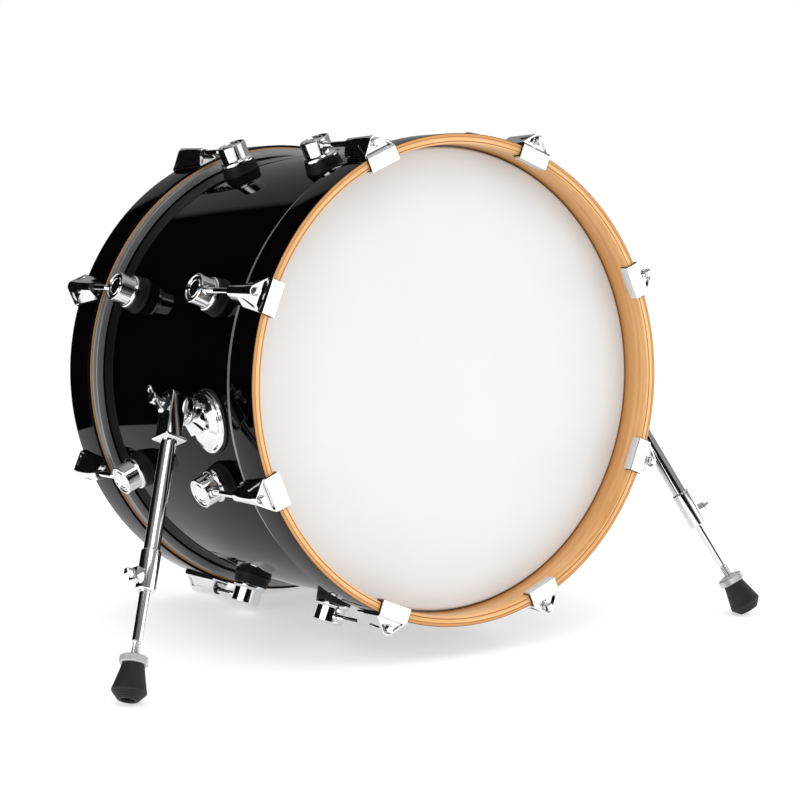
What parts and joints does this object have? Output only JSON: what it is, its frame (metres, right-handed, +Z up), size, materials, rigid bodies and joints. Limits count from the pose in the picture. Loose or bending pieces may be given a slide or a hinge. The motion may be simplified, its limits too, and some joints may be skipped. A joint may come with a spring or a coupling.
{
  "type": "bass drum",
  "caption": "Bass drum: black lacquered shell, maple hoops with chrome claws, white heads, tube lugs and tension rods, and two folding, telescoping spurs with rubber feet.",
  "frame": {"origin": "on the floor, under the middle of the drum's bounding box with both spurs out", "axes": "+Z up; -Y towards the front head; +X is the side on the right of someone who faces the front head. The drum leans back by about 5 degrees about X."},
  "size_m": [0.7744, 0.4234, 0.5139],
  "materials": {
    "shell_lacquer": "gloss black lacquer over plywood",
    "maple_hoop": "clear satin maple edge and bore, gloss black outside",
    "drumhead": "smooth white film in an aluminium flesh hoop",
    "lug_chrome": "polished chrome on a black base",
    "claw_chrome": "polished chrome with a black rubber lining",
    "rod_chrome": "chromed steel",
    "spur_chrome": "polished chrome",
    "zinc_steel": "bright plated steel",
    "foot_rubber": "matt black rubber"
  },
  "bodies": {
    "drum": {"front_claw_1": "claw_chrome", "front_claw_2": "claw_chrome", "front_claw_3": "claw_chrome", "front_claw_4": "claw_chrome", "front_claw_5": "claw_chrome", "front_claw_6": "claw_chrome", "front_claw_7": "claw_chrome", "front_claw_8": "claw_chrome", "front_head": "drumhead", "front_hoop": "maple_hoop", "front_lug_1": "lug_chrome", "front_lug_2": "lug_chrome", "front_lug_3": "lug_chrome", "front_lug_4": "lug_chrome", "front_lug_5": "lug_chrome", "front_lug_6": "lug_chrome", "front_lug_7": "lug_chrome", "front_lug_8": "lug_chrome", "left_spur_base": "spur_chrome", "rear_claw_1": "claw_chrome", "rear_claw_2": "claw_chrome", "rear_claw_3": "claw_chrome", "rear_claw_4": "claw_chrome", "rear_claw_5": "claw_chrome", "rear_claw_6": "claw_chrome", "rear_claw_7": "claw_chrome", "rear_claw_8": "claw_chrome", "rear_head": "drumhead", "rear_hoop": "maple_hoop", "rear_lug_1": "lug_chrome", "rear_lug_2": "lug_chrome", "rear_lug_3": "lug_chrome", "rear_lug_4": "lug_chrome", "rear_lug_5": "lug_chrome", "rear_lug_6": "lug_chrome", "rear_lug_7": "lug_chrome", "rear_lug_8": "lug_chrome", "right_spur_base": "spur_chrome", "shell": "shell_lacquer"},
    "left_leg": {"left_spur_leg": "spur_chrome"},
    "left_rod": {"left_inner_rod": "zinc_steel"},
    "left_nut": {"left_lock_nut": "zinc_steel"},
    "left_foot": {"left_rubber_foot": "foot_rubber"},
    "left_wing": {"left_wing_bolt": "spur_chrome"},
    "left_key": {"left_key_bolt": "spur_chrome"},
    "right_leg": {"right_spur_leg": "spur_chrome"},
    "right_rod": {"right_inner_rod": "zinc_steel"},
    "right_nut": {"right_lock_nut": "zinc_steel"},
    "right_foot": {"right_rubber_foot": "foot_rubber"},
    "right_wing": {"right_wing_bolt": "spur_chrome"},
    "right_key": {"right_key_bolt": "spur_chrome"},
    "front_rod_1": {"front_tension_rod_1": "rod_chrome"},
    "front_rod_2": {"front_tension_rod_2": "rod_chrome"},
    "front_rod_3": {"front_tension_rod_3": "rod_chrome"},
    "front_rod_4": {"front_tension_rod_4": "rod_chrome"},
    "front_rod_5": {"front_tension_rod_5": "rod_chrome"},
    "front_rod_6": {"front_tension_rod_6": "rod_chrome"},
    "front_rod_7": {"front_tension_rod_7": "rod_chrome"},
    "front_rod_8": {"front_tension_rod_8": "rod_chrome"}
  },
  "joints": [
    {"name": "left_spur_fold", "type": "hinge", "parent": "drum", "child": "left_leg", "pos_m": [-0.26525, -0.08216, 0.25102], "axis": [0.9191, -0.0353, -0.3924], "range_deg": [0, 108]},
    {"name": "left_rod_slide", "type": "slide", "parent": "left_leg", "child": "left_rod", "axis": [-0.3731, -0.3972, -0.8384], "range_m": [-0.05, 0.04]},
    {"name": "left_nut_travel", "type": "slide", "parent": "left_rod", "child": "left_nut", "axis": [0.3731, 0.3972, 0.8384], "range_m": [0, 0.01]},
    {"name": "left_foot_turn", "type": "hinge", "parent": "left_nut", "child": "left_foot", "pos_m": [-0.37454, -0.19852, 0.00545], "axis": [-0.3731, -0.3972, -0.8384], "continuous": true},
    {"name": "left_wing_turn", "type": "hinge", "parent": "left_leg", "child": "left_wing", "pos_m": [-0.26525, -0.08216, 0.25102], "axis": [-0.9191, 0.0353, 0.3924], "continuous": true},
    {"name": "left_key_turn", "type": "hinge", "parent": "left_leg", "child": "left_key", "pos_m": [-0.33055, -0.15168, 0.1043], "axis": [-0.9191, 0.0353, 0.3924], "continuous": true},
    {"name": "right_spur_fold", "type": "hinge", "parent": "drum", "child": "right_leg", "pos_m": [0.26525, -0.08216, 0.25102], "axis": [0.9191, 0.0353, 0.3924], "range_deg": [0, 108]},
    {"name": "right_rod_slide", "type": "slide", "parent": "right_leg", "child": "right_rod", "axis": [0.3731, -0.3972, -0.8384], "range_m": [-0.05, 0.04]},
    {"name": "right_nut_travel", "type": "slide", "parent": "right_rod", "child": "right_nut", "axis": [-0.3731, 0.3972, 0.8384], "range_m": [0, 0.01]},
    {"name": "right_foot_turn", "type": "hinge", "parent": "right_nut", "child": "right_foot", "pos_m": [0.37454, -0.19852, 0.00545], "axis": [0.3731, -0.3972, -0.8384], "continuous": true},
    {"name": "right_wing_turn", "type": "hinge", "parent": "right_leg", "child": "right_wing", "pos_m": [0.26525, -0.08216, 0.25102], "axis": [0.9191, 0.0353, 0.3924], "continuous": true},
    {"name": "right_key_turn", "type": "hinge", "parent": "right_leg", "child": "right_key", "pos_m": [0.33055, -0.15168, 0.1043], "axis": [0.9191, 0.0353, 0.3924], "continuous": true},
    {"name": "front_rod_1_turn", "type": "hinge", "parent": "drum", "child": "front_rod_1", "pos_m": [0.23356, -0.17729, 0.37005], "axis": [0, -0.996, 0.0895], "continuous": true},
    {"name": "front_rod_2_turn", "type": "hinge", "parent": "drum", "child": "front_rod_2", "pos_m": [0.09674, -0.16505, 0.50632], "axis": [0, -0.996, 0.0895], "continuous": true},
    {"name": "front_rod_3_turn", "type": "hinge", "parent": "drum", "child": "front_rod_3", "pos_m": [-0.09674, -0.16505, 0.50632], "axis": [0, -0.996, 0.0895], "continuous": true},
    {"name": "front_rod_4_turn", "type": "hinge", "parent": "drum", "child": "front_rod_4", "pos_m": [-0.23356, -0.17729, 0.37005], "axis": [0, -0.996, 0.0895], "continuous": true},
    {"name": "front_rod_5_turn", "type": "hinge", "parent": "drum", "child": "front_rod_5", "pos_m": [-0.23356, -0.19461, 0.17734], "axis": [0, -0.996, 0.0895], "continuous": true},
    {"name": "front_rod_6_turn", "type": "hinge", "parent": "drum", "child": "front_rod_6", "pos_m": [-0.09674, -0.20685, 0.04108], "axis": [0, -0.996, 0.0895], "continuous": true},
    {"name": "front_rod_7_turn", "type": "hinge", "parent": "drum", "child": "front_rod_7", "pos_m": [0.09674, -0.20685, 0.04108], "axis": [0, -0.996, 0.0895], "continuous": true},
    {"name": "front_rod_8_turn", "type": "hinge", "parent": "drum", "child": "front_rod_8", "pos_m": [0.23356, -0.19461, 0.17734], "axis": [0, -0.996, 0.0895], "continuous": true}
  ]
}
